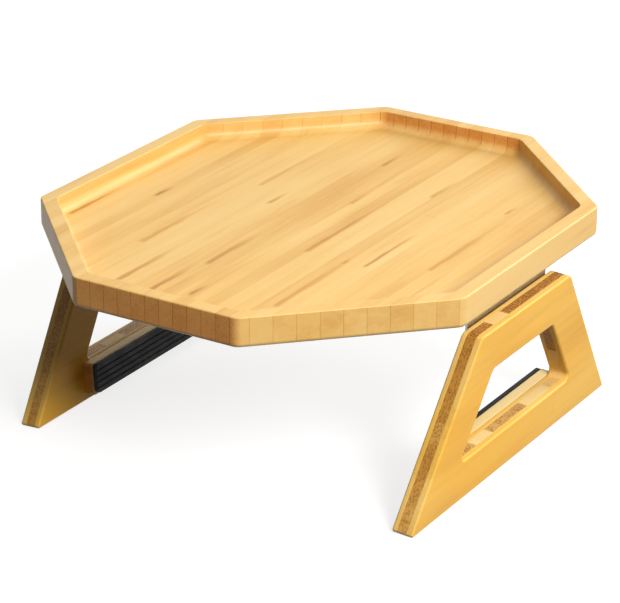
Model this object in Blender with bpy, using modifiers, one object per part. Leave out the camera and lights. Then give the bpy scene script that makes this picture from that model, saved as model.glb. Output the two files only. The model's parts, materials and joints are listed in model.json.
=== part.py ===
"""Octagonal bamboo tray that stands, or clips over a sofa arm, on two folding legs.

X runs from leg to leg, Y runs along the hinges and the bamboo's grain, Z is up.
The origin lies on the floor under the middle of the tray. Lengths are in metres.
"""
import math

import bmesh
import bpy
from mathutils import Matrix, Vector

# Tray board
tray_width = 0.300
tray_length = 0.360
tray_thickness = 0.019
corner_cut = 0.094
tray_corner_radius = 0.008
tray_top_round = 0.0012
tray_bottom_round = 0.003

# Recess milled into the tray
rim_width = 0.010
recess_depth = 0.011
recess_corner_radius = 0.010
recess_cove_radius = 0.006

# Legs, each a plate of three plies with a window
leg_height = 0.1032
leg_top_length = 0.1147
leg_bottom_length = 0.2522
leg_corner_radius = 0.005
leg_foot_radius = 0.0015
leg_edge_round = 0.001
inner_ply_thickness = 0.0034
core_thickness = 0.0060
outer_ply_thickness = 0.0041
leg_lean_degrees = 3.5
leg_gap = 0.0162

# Window through each leg
window_top_bar = 0.0272
window_height = 0.0498
window_top_length = 0.0775
window_bottom_length = 0.1440
window_corner_radius = 0.005
window_foot_radius = 0.0035

# Bamboo batten on the inner face of each leg's bottom bar
batten_length = 0.150
batten_height = 0.0215
batten_thickness = 0.0070
batten_corner_radius = 0.002
batten_edge_round = 0.0008

# Ribbed rubber grip on each batten
grip_length = 0.150
grip_height = 0.0195
grip_thickness = 0.0027
grip_corner_radius = 0.003
grip_groove_count = 4
grip_groove_width = 0.0012
grip_groove_depth = 0.0010

# Hinges
hinge_set_back = 0.0197
hinge_length = 0.100
knuckle_count = 5
knuckle_gap = 0.0003
barrel_radius = 0.0035
pin_radius = 0.0015
pin_clearance = 0.0003
pin_head_radius = 0.0027
pin_head_height = 0.0010
leaf_thickness = 0.0015
leaf_lift = 0.0001
leaf_clearance = 0.0005
leaf_corner_radius = 0.002
tray_leaf_width = 0.026
leg_leaf_seat = 0.024

# Screws
screw_count = 4
screw_end_distance = 0.010
screw_head_radius = 0.0031
screw_head_height = 0.0015
screw_shank_radius = 0.0015
screw_tip_length = 0.0020
tray_screw_length = 0.0075
leg_screw_length = 0.0100
screw_clearance = 0.0003
screw_slot_width = 0.0008
screw_slot_depth = 0.0006
screw_end_clearance = 0.0005

# Fits and fineness
seat_gap = 0.0003
cut_overrun = 0.002
merge_distance = 0.000001
corner_steps = 5
cove_steps = 4
edge_round_steps = 2
round_sides = 24
screw_sides = 16
flat_turn_degrees = 1
sharp_turn_degrees = 30

# Shares of the sizes that carry them
tray_screw_row_share = 0.58
leg_screw_row_share = 0.55
screw_crown_share = 0.62
screw_slot_length_share = 1.3

# What follows from the sizes above
leg_lean = math.radians(leg_lean_degrees)
leg_thickness = inner_ply_thickness + core_thickness + outer_ply_thickness + seat_gap + seat_gap
axis_drop = barrel_radius + leaf_lift + seat_gap
leg_face = axis_drop
batten_face = leg_face - seat_gap
grip_face = batten_face - batten_thickness - seat_gap
leg_top_drop = leg_gap - axis_drop
leg_bottom_drop = leg_top_drop + leg_height
leg_leaf_width = leg_top_drop + leg_leaf_seat
axis_x = tray_width / 2 - hinge_set_back
foot_reach = leg_face + leg_thickness - leg_edge_round
axis_z = leg_bottom_drop * math.cos(leg_lean) + foot_reach * math.sin(leg_lean)
tray_bottom_z = axis_z + axis_drop
tray_top_z = tray_bottom_z + tray_thickness
leaf_outer = barrel_radius + leaf_lift
leaf_inner = leaf_outer - leaf_thickness
window_bottom = window_top_bar + window_height


def clear_scene():
    """Take every object out of the scene."""
    for item in list(bpy.data.objects):
        bpy.data.objects.remove(item, do_unlink=True)


def new_collection(name):
    """A collection linked to the scene."""
    group = bpy.data.collections.new(name)
    bpy.context.scene.collection.children.link(group)
    return group


clear_scene()
parts = new_collection("bamboo_tray")
cutters = new_collection("cutters")


def new_material(name, colour, roughness, metallic):
    """A plain surface in one colour."""
    surface = bpy.data.materials.new(name)
    surface.use_nodes = True
    shader = surface.node_tree.nodes["Principled BSDF"]
    shader.inputs["Base Color"].default_value = (*colour, 1)
    shader.inputs["Roughness"].default_value = roughness
    shader.inputs["Metallic"].default_value = metallic
    return surface


def tray_bamboo():
    """Lacquered honey-coloured bamboo strips."""
    return new_material("tray_bamboo", (0.72, 0.48, 0.22), 0.42, 0)


def leg_bamboo():
    """Slightly deeper bamboo of the legs' faces."""
    return new_material("leg_bamboo", (0.68, 0.42, 0.16), 0.45, 0)


def core_bamboo():
    """Brown end grain of the crosswise core."""
    return new_material("core_bamboo", (0.42, 0.20, 0.06), 0.55, 0)


def hinge_steel():
    """Dull zinc-plated steel."""
    return new_material("hinge_steel", (0.42, 0.40, 0.37), 0.35, 1)


def screw_steel():
    """Brighter plated steel of the screws and pins."""
    return new_material("screw_steel", (0.55, 0.54, 0.52), 0.30, 1)


def grip_rubber():
    """Black rubber."""
    return new_material("grip_rubber", (0.02, 0.02, 0.02), 0.75, 0)


def evaluated(item):
    """The item's mesh with its modifiers carried out."""
    graph = bpy.context.evaluated_depsgraph_get()
    graph.update()
    return bpy.data.meshes.new_from_object(item.evaluated_get(graph))


def tidy(mesh):
    """Weld loose seams and point the faces out."""
    work = bmesh.new()
    work.from_mesh(mesh)
    bmesh.ops.remove_doubles(work, verts=work.verts, dist=merge_distance)
    bmesh.ops.recalc_face_normals(work, faces=work.faces)
    work.to_mesh(mesh)
    work.free()
    return mesh


def combine(mesh, tool, operation):
    """The mesh with the tool cut out of it or joined to it."""
    body = bpy.data.objects.new("body", mesh)
    parts.objects.link(body)
    cutter = bpy.data.objects.new("cutter", tool)
    cutters.objects.link(cutter)
    cutter.hide_render = True
    cutter.display_type = 'WIRE'
    step = body.modifiers.new("combine", 'BOOLEAN')
    step.operation = operation
    step.solver = 'EXACT'
    step.object = cutter
    result = evaluated(body)
    bpy.data.objects.remove(body)
    bpy.data.objects.remove(cutter)
    return tidy(result)


def together(meshes):
    """Several meshes in one, each still a body of its own."""
    work = bmesh.new()
    for mesh in meshes:
        work.from_mesh(mesh)
    result = bpy.data.meshes.new("group")
    work.to_mesh(result)
    work.free()
    return result


def moved(mesh, matrix):
    """A copy of the mesh, moved."""
    result = mesh.copy()
    result.transform(matrix)
    return result


def rounded_outline(corners, radii):
    """The corners' outline with each corner turned into an arc. The radii are taken in turn."""
    points = []
    count = len(corners)
    for index, corner in enumerate(corners):
        radius = radii[index % len(radii)]
        here = Vector(corner)
        back = (Vector(corners[index - 1]) - here).normalized()
        ahead = (Vector(corners[(index + 1) % count]) - here).normalized()
        half = back.angle(ahead) / 2
        centre = here + (back + ahead).normalized() * radius / math.sin(half)
        start = here + back * radius / math.tan(half) - centre
        finish = here + ahead * radius / math.tan(half) - centre
        turn = start.angle_signed(finish)
        for step in range(corner_steps + 1):
            swing = Matrix.Rotation(-turn * step / corner_steps, 2)
            points.append(centre + swing @ start)
    return points


def plate(outlines, thickness):
    """A flat plate of the first outline, with the others as holes, centred on its thickness."""
    curve = bpy.data.curves.new("outline", 'CURVE')
    curve.dimensions = '2D'
    curve.fill_mode = 'BOTH'
    curve.extrude = thickness / 2
    for outline in outlines:
        spline = curve.splines.new('POLY')
        spline.points.add(len(outline) - 1)
        spline.use_cyclic_u = True
        for point, place in zip(spline.points, outline):
            point.co = (place[0], place[1], 0, 1)
    item = bpy.data.objects.new("outline", curve)
    parts.objects.link(item)
    mesh = evaluated(item)
    bpy.data.objects.remove(item)
    return tidy(mesh)


def eased(mesh, level, width, steps):
    """The mesh with the sharp edges that lie at one level along Z rounded."""
    work = bmesh.new()
    work.from_mesh(mesh)
    flat_turn = math.radians(flat_turn_degrees)
    bmesh.ops.dissolve_limit(work, angle_limit=flat_turn, verts=work.verts, edges=work.edges)
    edges = []
    for edge in work.edges:
        at_level = all(abs(vertex.co.z - level) < merge_distance for vertex in edge.verts)
        if at_level and edge.calc_face_angle(0) > flat_turn:
            edges.append(edge)
    bmesh.ops.bevel(work, geom=edges, offset=width, segments=steps, profile=0.5, affect='EDGES')
    result = bpy.data.meshes.new("eased")
    work.to_mesh(result)
    work.free()
    return tidy(result)


def block(low, high):
    """A box between two opposite corners."""
    work = bmesh.new()
    bmesh.ops.create_cube(work, size=1)
    size = Vector(high) - Vector(low)
    centre = (Vector(high) + Vector(low)) / 2
    matrix = Matrix.Translation(centre) @ Matrix.Diagonal((*size, 1))
    bmesh.ops.transform(work, matrix=matrix, verts=work.verts)
    mesh = bpy.data.meshes.new("block")
    work.to_mesh(mesh)
    work.free()
    return mesh


def rod(radius, length, sides):
    """A round bar along Z, centred on the origin."""
    work = bmesh.new()
    bmesh.ops.create_cone(work, cap_ends=True, segments=sides, radius1=radius, radius2=radius, depth=length)
    mesh = bpy.data.meshes.new("rod")
    work.to_mesh(mesh)
    work.free()
    return mesh


def along_y():
    """Turns the Z axis onto the Y axis."""
    return Matrix.Rotation(-math.pi / 2, 4, 'X')


def turned(profile, sides):
    """A profile of radius and height turned round Z."""
    mesh = bpy.data.meshes.new("profile")
    places = [(radius, 0, height) for radius, height in profile]
    links = [(index, index + 1) for index in range(len(profile) - 1)]
    mesh.from_pydata(places, links, [])
    item = bpy.data.objects.new("profile", mesh)
    parts.objects.link(item)
    spin = item.modifiers.new("spin", 'SCREW')
    spin.steps = sides
    spin.render_steps = sides
    spin.use_merge_vertices = True
    spin.merge_threshold = merge_distance
    result = evaluated(item)
    bpy.data.objects.remove(item)
    return tidy(result)


def octagon(width, length, cut):
    """The corners of an oblong with its four corners cut off at 45 degrees."""
    x = width / 2
    y = length / 2
    return [(x, y - cut), (x - cut, y), (cut - x, y), (-x, y - cut),
            (-x, cut - y), (cut - x, -y), (x - cut, -y), (x, cut - y)]


def recess_tool():
    """The milled space: an inset octagon with a cove along the foot of its wall."""
    width = tray_width - rim_width - rim_width
    length = tray_length - rim_width - rim_width
    cut = corner_cut - rim_width * (2 - math.sqrt(2))
    outline = rounded_outline(octagon(width, length, cut), [recess_corner_radius])
    height = recess_depth + cut_overrun
    tool = plate([outline], height)
    tool = eased(tool, -height / 2, recess_cove_radius, cove_steps)
    return moved(tool, Matrix.Translation((0, 0, tray_top_z - recess_depth + height / 2)))


def tray_board_mesh():
    """The solid octagonal board with its recess and the pilot holes for the hinges."""
    outline = rounded_outline(octagon(tray_width, tray_length, corner_cut), [tray_corner_radius])
    board = plate([outline], tray_thickness)
    board = eased(board, tray_thickness / 2, tray_top_round, edge_round_steps)
    board = eased(board, -tray_thickness / 2, tray_bottom_round, edge_round_steps + 1)
    board = moved(board, Matrix.Translation((0, 0, tray_bottom_z + tray_thickness / 2)))
    board = combine(board, recess_tool(), 'DIFFERENCE')
    holes = together([moved(tray_hole_tool(), place) for place in hinge_places()])
    return combine(board, holes, 'DIFFERENCE')


def hinge_places():
    """Where the right and the left hinge frames stand: at the pin, X pointing away from the tray."""
    right = Matrix.Translation((axis_x, 0, axis_z))
    left = Matrix.Translation((-axis_x, 0, axis_z)) @ Matrix.Rotation(math.pi, 4, 'Z')
    return [right, left]


def leg_frame():
    """Turns a plate drawn in Y and Z so that its thickness lies along X."""
    return Matrix(((0, 0, 1, 0), (1, 0, 0, 0), (0, 1, 0, 0), (0, 0, 0, 1)))


def trapezoid(top, bottom, top_length, bottom_length):
    """Corners of a symmetric trapezoid that hangs below the leg's top edge."""
    high = -leg_top_drop - top
    low = -leg_top_drop - bottom
    return [(top_length / 2, high), (-top_length / 2, high), (-bottom_length / 2, low), (bottom_length / 2, low)]


def ply(thickness, face, eased_side):
    """One ply of a leg, with its window, its inner side lying at the given X."""
    outside = trapezoid(0, leg_height, leg_top_length, leg_bottom_length)
    inside = trapezoid(window_top_bar, window_bottom, window_top_length, window_bottom_length)
    outside = rounded_outline(outside, [leg_corner_radius, leg_corner_radius, leg_foot_radius, leg_foot_radius])
    inside = rounded_outline(inside, [window_corner_radius, window_corner_radius,
                                      window_foot_radius, window_foot_radius])
    mesh = plate([outside, inside], thickness)
    if eased_side:
        mesh = eased(mesh, eased_side * thickness / 2, leg_edge_round, edge_round_steps)
    mesh.transform(leg_frame())
    return moved(mesh, Matrix.Translation((face + thickness / 2, 0, 0)))


def screw_spots():
    """How far along the hinge each screw sits."""
    reach = hinge_length / 2 - screw_end_distance
    return [reach * (2 * index / (screw_count - 1) - 1) for index in range(screw_count)]


def tray_screw_seats():
    """Where the screws' heads rest on the leaf under the tray, pointing into the board."""
    row = -tray_leaf_width * tray_screw_row_share
    turn = Matrix.Rotation(math.pi, 4, 'X')
    return [Matrix.Translation((row, spot, leaf_inner - seat_gap)) @ turn for spot in screw_spots()]


def leg_screw_seats():
    """Where the screws' heads rest on the leg's leaf, pointing into the leg."""
    row = -leg_top_drop - leg_leaf_seat * leg_screw_row_share
    turn = Matrix.Rotation(-math.pi / 2, 4, 'Y')
    return [Matrix.Translation((leaf_inner - seat_gap, spot, row)) @ turn for spot in screw_spots()]


def hole_tool(seats, length):
    """Round holes that leave room for screws of this length, open towards their heads."""
    depth = length + screw_end_clearance
    bar = rod(screw_shank_radius + screw_clearance, depth, screw_sides)
    bar.transform(Matrix.Translation((0, 0, -depth / 2)))
    return together([moved(bar, seat) for seat in seats])


def tray_hole_tool():
    """The holes of the leaf and the board at one hinge."""
    return hole_tool(tray_screw_seats(), tray_screw_length)


def leg_hole_tool():
    """The holes of the leaf, the inner ply and the core at one hinge."""
    return hole_tool(leg_screw_seats(), leg_screw_length)


def inner_ply_mesh():
    """The ply that faces the sofa's arm."""
    return combine(ply(inner_ply_thickness, leg_face, -1), leg_hole_tool(), 'DIFFERENCE')


def core_mesh():
    """The crosswise middle ply."""
    face = leg_face + inner_ply_thickness + seat_gap
    return combine(ply(core_thickness, face, 0), leg_hole_tool(), 'DIFFERENCE')


def outer_ply_mesh():
    """The ply that shows from outside."""
    face = leg_face + inner_ply_thickness + seat_gap + core_thickness + seat_gap
    return ply(outer_ply_thickness, face, 1)


def foot_strip(length, height, thickness, corner_radius):
    """A strip along the leg's bottom bar, its top level with the foot of the window."""
    top = -leg_top_drop - window_bottom
    x = length / 2
    corners = [(x, top), (-x, top), (-x, top - height), (x, top - height)]
    return plate([rounded_outline(corners, [corner_radius])], thickness)


def laid_on(strip, thickness, face):
    """The strip turned onto the leg, its outer side lying at the given X."""
    strip.transform(leg_frame())
    return moved(strip, Matrix.Translation((face - thickness / 2, 0, 0)))


def batten_mesh():
    """The batten that carries the rubber strip."""
    batten = foot_strip(batten_length, batten_height, batten_thickness, batten_corner_radius)
    batten = eased(batten, -batten_thickness / 2, batten_edge_round, edge_round_steps)
    return laid_on(batten, batten_thickness, batten_face)


def grip_mesh():
    """The rubber strip on the batten, with grooves along its length."""
    strip = foot_strip(grip_length, grip_height, grip_thickness, grip_corner_radius)
    strip = laid_on(strip, grip_thickness, grip_face)
    exposed = grip_face - grip_thickness
    top = -leg_top_drop - window_bottom
    pitch = grip_height / (grip_groove_count + 1)
    reach = grip_length / 2 + cut_overrun
    grooves = []
    for index in range(grip_groove_count):
        middle = top - pitch * (index + 1)
        low = (exposed - cut_overrun, -reach, middle - grip_groove_width / 2)
        high = (exposed + grip_groove_depth, reach, middle + grip_groove_width / 2)
        grooves.append(block(low, high))
    return combine(strip, together(grooves), 'DIFFERENCE')


def knuckle_spans(own):
    """Where a leaf's own knuckles start and end along the pin."""
    pitch = hinge_length / knuckle_count
    spans = []
    for index in range(own, knuckle_count, 2):
        start = -hinge_length / 2 + index * pitch
        spans.append((start + knuckle_gap / 2, start + pitch - knuckle_gap / 2))
    return spans


def leaf_mesh(own, width):
    """A hinge leaf that runs along +X from the pin, its back lying above the pin."""
    root = barrel_radius + leaf_clearance
    y = hinge_length / 2
    corners = [(width, y), (root, y), (root, -y), (width, -y)]
    mesh = plate([rounded_outline(corners, [leaf_corner_radius])], leaf_thickness)
    mesh.transform(Matrix.Translation((0, 0, leaf_outer - leaf_thickness / 2)))
    for start, finish in knuckle_spans(own):
        barrel = rod(barrel_radius, finish - start, round_sides)
        barrel.transform(Matrix.Translation((0, (start + finish) / 2, 0)) @ along_y())
        tab = block((0, start, leaf_inner), (root + leaf_corner_radius, finish, leaf_outer))
        mesh = combine(mesh, combine(tab, barrel, 'UNION'), 'UNION')
    bore = rod(pin_radius + pin_clearance, hinge_length + cut_overrun, round_sides)
    bore.transform(along_y())
    return combine(mesh, bore, 'DIFFERENCE')


def tray_leaf_mesh():
    """The leaf screwed under the tray, reaching inwards from the pin."""
    leaf = moved(leaf_mesh(0, tray_leaf_width), Matrix.Rotation(math.pi, 4, 'Z'))
    return combine(leaf, tray_hole_tool(), 'DIFFERENCE')


def leg_leaf_mesh():
    """The leaf screwed to the leg's inner face, reaching down from the pin."""
    leaf = moved(leaf_mesh(1, leg_leaf_width), Matrix.Rotation(math.pi / 2, 4, 'Y'))
    return combine(leaf, leg_hole_tool(), 'DIFFERENCE')


def pin_mesh():
    """The hinge pin with a low head at each end."""
    reach = hinge_length / 2 + seat_gap
    top = reach + pin_head_height
    crown = pin_head_radius - pin_head_height / 2
    profile = [(0, top), (crown, top), (pin_head_radius, top - pin_head_height / 2), (pin_head_radius, reach),
               (pin_radius, reach), (pin_radius, -reach), (pin_head_radius, -reach),
               (pin_head_radius, pin_head_height / 2 - top), (crown, -top), (0, -top)]
    return moved(turned(profile, round_sides), along_y())


def screw_mesh(length):
    """A pan-head screw, its head above the origin and its shank below."""
    crown = screw_head_radius * screw_crown_share
    profile = [(0, screw_head_height), (crown, screw_head_height),
               (screw_head_radius, screw_head_height * screw_crown_share), (screw_head_radius, 0),
               (screw_shank_radius, 0), (screw_shank_radius, screw_tip_length - length), (0, -length)]
    mesh = turned(profile, screw_sides)
    reach = crown * screw_slot_length_share / 2
    floor = screw_head_height - screw_slot_depth
    top = screw_head_height + cut_overrun
    half = screw_slot_width / 2
    cross = combine(block((-reach, -half, floor), (reach, half, top)),
                    block((-half, -reach, floor), (half, reach, top)), 'UNION')
    return combine(mesh, cross, 'DIFFERENCE')


def screw_set(name, seats, length):
    """Named screws, one for each seat."""
    screw = screw_mesh(length)
    return [(name + "_" + str(index + 1), moved(screw, seat), 'screw') for index, seat in enumerate(seats)]


def new_empty(name, place, lean):
    """A frame on a hinge's pin, leant by an angle about the pin."""
    item = bpy.data.objects.new(name, None)
    parts.objects.link(item)
    item.matrix_world = place @ Matrix.Rotation(lean, 4, 'Y')
    return item


def add_part(name, mesh, surface, parent):
    """A named piece with its surface, hung on its frame."""
    item = bpy.data.objects.new(name, mesh.copy())
    item.data.name = name
    item.data.materials.clear()
    item.data.materials.append(surface)
    item.data.shade_smooth()
    item.data.set_sharp_from_angle(angle=math.radians(sharp_turn_degrees))
    parts.objects.link(item)
    item.parent = parent
    return item


def tray_side_pieces():
    """What stays with the tray at one hinge."""
    pieces = [("hinge_tray_leaf", tray_leaf_mesh(), 'hinge'), ("hinge_pin", pin_mesh(), 'screw')]
    return pieces + screw_set("tray_screw", tray_screw_seats(), tray_screw_length)


def leg_side_pieces():
    """What turns with one leg."""
    pieces = [("leg_inner_ply", inner_ply_mesh(), 'leg'), ("leg_core", core_mesh(), 'core'),
              ("leg_outer_ply", outer_ply_mesh(), 'leg'), ("grip_batten", batten_mesh(), 'leg'),
              ("grip_pad", grip_mesh(), 'rubber'), ("hinge_leg_leaf", leg_leaf_mesh(), 'hinge')]
    return pieces + screw_set("leg_screw", leg_screw_seats(), leg_screw_length)


def build():
    """Make every piece and hang it in its place."""
    surfaces = {'leg': leg_bamboo(), 'core': core_bamboo(), 'rubber': grip_rubber(),
                'hinge': hinge_steel(), 'screw': screw_steel()}
    add_part("tray_board", tray_board_mesh(), tray_bamboo(), None)
    fixed = tray_side_pieces()
    moving = leg_side_pieces()
    for side, place in zip(("right", "left"), hinge_places()):
        seat = new_empty(side + "_hinge_seat", place, 0)
        joint = new_empty(side + "_leg_joint", place, leg_lean)
        for name, mesh, surface in fixed:
            add_part(side + "_" + name, mesh, surfaces[surface], seat)
        for name, mesh, surface in moving:
            add_part(side + "_" + name, mesh, surfaces[surface], joint)


build()
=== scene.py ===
import json
import math

import bmesh
import bpy
from mathutils import Matrix, Vector


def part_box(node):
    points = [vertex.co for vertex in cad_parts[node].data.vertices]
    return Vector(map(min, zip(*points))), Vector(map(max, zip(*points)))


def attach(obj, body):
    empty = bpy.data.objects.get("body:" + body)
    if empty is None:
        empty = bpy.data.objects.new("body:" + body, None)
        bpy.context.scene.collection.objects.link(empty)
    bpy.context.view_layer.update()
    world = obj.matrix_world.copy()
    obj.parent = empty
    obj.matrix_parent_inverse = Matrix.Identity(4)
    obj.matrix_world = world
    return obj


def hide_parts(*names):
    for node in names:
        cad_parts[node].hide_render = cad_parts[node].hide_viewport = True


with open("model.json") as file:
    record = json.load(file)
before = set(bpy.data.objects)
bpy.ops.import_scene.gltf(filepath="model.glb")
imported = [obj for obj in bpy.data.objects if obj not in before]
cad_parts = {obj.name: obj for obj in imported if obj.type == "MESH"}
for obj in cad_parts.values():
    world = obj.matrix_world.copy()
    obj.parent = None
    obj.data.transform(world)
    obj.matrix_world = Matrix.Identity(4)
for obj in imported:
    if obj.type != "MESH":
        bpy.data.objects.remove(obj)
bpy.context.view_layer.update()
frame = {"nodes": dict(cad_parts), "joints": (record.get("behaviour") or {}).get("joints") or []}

# A tray for a sofa's arm: an octagonal bamboo board with a milled recess, on two hinged legs.
# X runs from leg to leg, Y along the grain and the hinges, Z is up. Lengths are in metres.


# The board
# A solid octagon, glued up from bamboo strips that run along Y. A round-nosed cutter mills
# the recess, which leaves a cove along its foot, and all its edges are sanded round.
board_low, board_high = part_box("tray_board")
corner_cut = 0.094
board_corner_radius = 0.008
bottom_round = 0.0030
top_round = 0.0009
rim_width = 0.010
lip_round = 0.0006
recess_depth = 0.011
recess_corner_radius = 0.010
cove_radius = 0.006
corner_steps = 10
round_steps = 6
cove_steps = 12


def outline(corners, inset, radii, steps):
    """Points round a convex outline that is drawn in by an inset, with an arc at each corner."""
    count = len(corners)
    inward = []
    for index, corner in enumerate(corners):
        along = Vector(corners[(index + 1) % count]) - Vector(corner)
        inward.append(Vector((-along.y, along.x)).normalized())
    points = []
    for index, corner in enumerate(corners):
        before = inward[index - 1]
        after = inward[index]
        radius = radii[index % len(radii)]
        turn = math.atan2(before.x * after.y - before.y * after.x, before.dot(after))
        centre = Vector(corner) + (before + after) * radius / (1 + before.dot(after))
        for step in range(steps + 1):
            points.append(centre - Matrix.Rotation(turn * step / steps, 2) @ before * (radius - inset))
    return points


def arc(inset, level, radius, start, finish, steps):
    """Pairs of inset and level along an arc, from one angle in degrees to another."""
    pairs = []
    for step in range(steps + 1):
        angle = math.radians(start + (finish - start) * step / steps)
        pairs.append((inset + radius * math.cos(angle), level + radius * math.sin(angle)))
    return pairs


def loft(name, rings, endless=False):
    """A closed skin over rings of equally many points. Its ends are capped unless it is endless."""
    work = bmesh.new()
    rows = [[work.verts.new(point) for point in ring] for ring in rings]
    following = rows[1:] + rows[:1] if endless else rows[1:]
    for row, other in zip(rows, following):
        for index in range(len(row)):
            work.faces.new((row[index - 1], row[index], other[index], other[index - 1]))
    if not endless:
        work.faces.new(rows[0])
        work.faces.new(rows[-1])
    bmesh.ops.recalc_face_normals(work, faces=work.faces)
    mesh = bpy.data.meshes.new(name)
    work.to_mesh(mesh)
    work.free()
    return mesh


def octagon(low, high, cut):
    """The corners of an oblong whose own corners are cut off at 45 degrees."""
    return [(high.x, low.y + cut), (high.x, high.y - cut), (high.x - cut, high.y), (low.x + cut, high.y),
            (low.x, high.y - cut), (low.x, low.y + cut), (low.x + cut, low.y), (high.x - cut, low.y)]


def board_mesh():
    """Rings from the underside, up round the rim, down the recess's wall and round its cove."""
    corners = octagon(board_low, board_high, corner_cut)
    floor = board_high.z - recess_depth
    outside = arc(bottom_round, board_low.z + bottom_round, bottom_round, 270, 180, round_steps)
    outside += arc(top_round, board_high.z - top_round, top_round, 180, 90, round_steps)
    inside = arc(rim_width - lip_round, board_high.z - lip_round, lip_round, 90, 0, round_steps)
    inside += arc(rim_width + cove_radius, floor + cove_radius, cove_radius, 180, 270, cove_steps)
    rings = []
    for side, radius in ((outside, board_corner_radius), (inside, recess_corner_radius + rim_width)):
        for inset, level in side:
            ring = outline(corners, inset, [radius], corner_steps)
            rings.append([(point.x, point.y, level) for point in ring])
    return loft("board", rings)


def node(tree, kind, inputs=None, out=0, **settings):
    """A node with its settings and inputs, each a value or a socket. Gives one of its outputs."""
    made = tree.nodes.new(kind)
    for key, value in settings.items():
        setattr(made, key, value)
    for key, value in (inputs or {}).items():
        if isinstance(value, bpy.types.NodeSocket):
            tree.links.new(value, made.inputs[key])
        else:
            made.inputs[key].default_value = value
    return made.outputs[out]


def math_node(tree, operation, first, second=0.0):
    """One step of arithmetic on sockets or numbers."""
    return node(tree, 'ShaderNodeMath', {0: first, 1: second}, operation=operation)


def sum_of(tree, *terms):
    """The sum of pairs of a socket and the number that it is multiplied by."""
    total = 0.0
    for socket, factor in terms:
        total = node(tree, 'ShaderNodeMath', {0: socket, 1: factor, 2: total}, operation='MULTIPLY_ADD')
    return total


def between(tree, socket, low, high, at_low=0.0, at_high=1.0):
    """The socket's value, stretched smoothly from one range to another."""
    inputs = {0: socket, 1: low, 2: high, 3: at_low, 4: at_high}
    return node(tree, 'ShaderNodeMapRange', inputs, interpolation_type='SMOOTHSTEP')


def mixed(tree, factor, first, second, blend='MIX'):
    """Two colours blended."""
    inputs = {0: factor, 6: first, 7: second}
    return node(tree, 'ShaderNodeMix', inputs, out=2, data_type='RGBA', blend_type=blend)


def ramp(tree, factor, stops, interpolation='LINEAR'):
    """Colours along a ramp, one at each stop."""
    made = tree.nodes.new('ShaderNodeValToRGB')
    tree.links.new(factor, made.inputs[0])
    made.color_ramp.interpolation = interpolation
    while len(made.color_ramp.elements) < len(stops):
        made.color_ramp.elements.new(0.5)
    for element, (place, colour) in zip(made.color_ramp.elements, stops):
        element.position = place
        element.color = (*colour, 1)
    return made.outputs[0]


def stretched(tree, sockets, scales):
    """A vector of three sockets, each with its own scale."""
    scaled = [math_node(tree, 'MULTIPLY', socket, scale) for socket, scale in zip(sockets, scales)]
    return node(tree, 'ShaderNodeCombineXYZ', {0: scaled[0], 1: scaled[1], 2: scaled[2]})


def noise(tree, sockets, scales, detail=3.0, roughness=0.55):
    """Noise about as many times finer along each way as its scale says, in marks a metre."""
    place = stretched(tree, sockets, scales)
    inputs = {0: place, 'Scale': 1.0, 'Detail': detail, 'Roughness': roughness}
    return node(tree, 'ShaderNodeTexNoise', inputs)


def stroke(tree, across, along, ragged, place, start, finish, width, rise=0.006, full_share=0.25):
    """One dark stroke of the grain: a sharp start, a long fading tail and a ragged side."""
    aside = sum_of(tree, (across, 1.0), (ragged, width))
    aside = math_node(tree, 'ABSOLUTE', math_node(tree, 'SUBTRACT', aside, place + width / 2))
    body = between(tree, aside, width * full_share, width, 1.0, 0.0)
    edge = sum_of(tree, (along, 1.0), (ragged, width * 3))
    opening = between(tree, edge, start, start + rise)
    fading = start + (finish - start) * full_share
    tail = between(tree, edge, fading, finish + width * 2, 1.0, 0.0)
    return math_node(tree, 'MULTIPLY', body, math_node(tree, 'MULTIPLY', opening, tail))


def block_tones(tree, across, along, reach, split, above, below, blur=0.0002):
    """The tones of single strips, in two rows that meet at a split along their length."""
    place = sum_of(tree, (across, 0.5 / reach))
    place = math_node(tree, 'ADD', place, 0.5)
    rows = []
    for stops in (below, above):
        greys = [((start / reach + 1) / 2, (tone, tone, tone)) for start, tone in stops]
        rows.append(ramp(tree, place, greys, 'CONSTANT'))
    return mixed(tree, between(tree, along, split - blur, split + blur), *rows)


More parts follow.
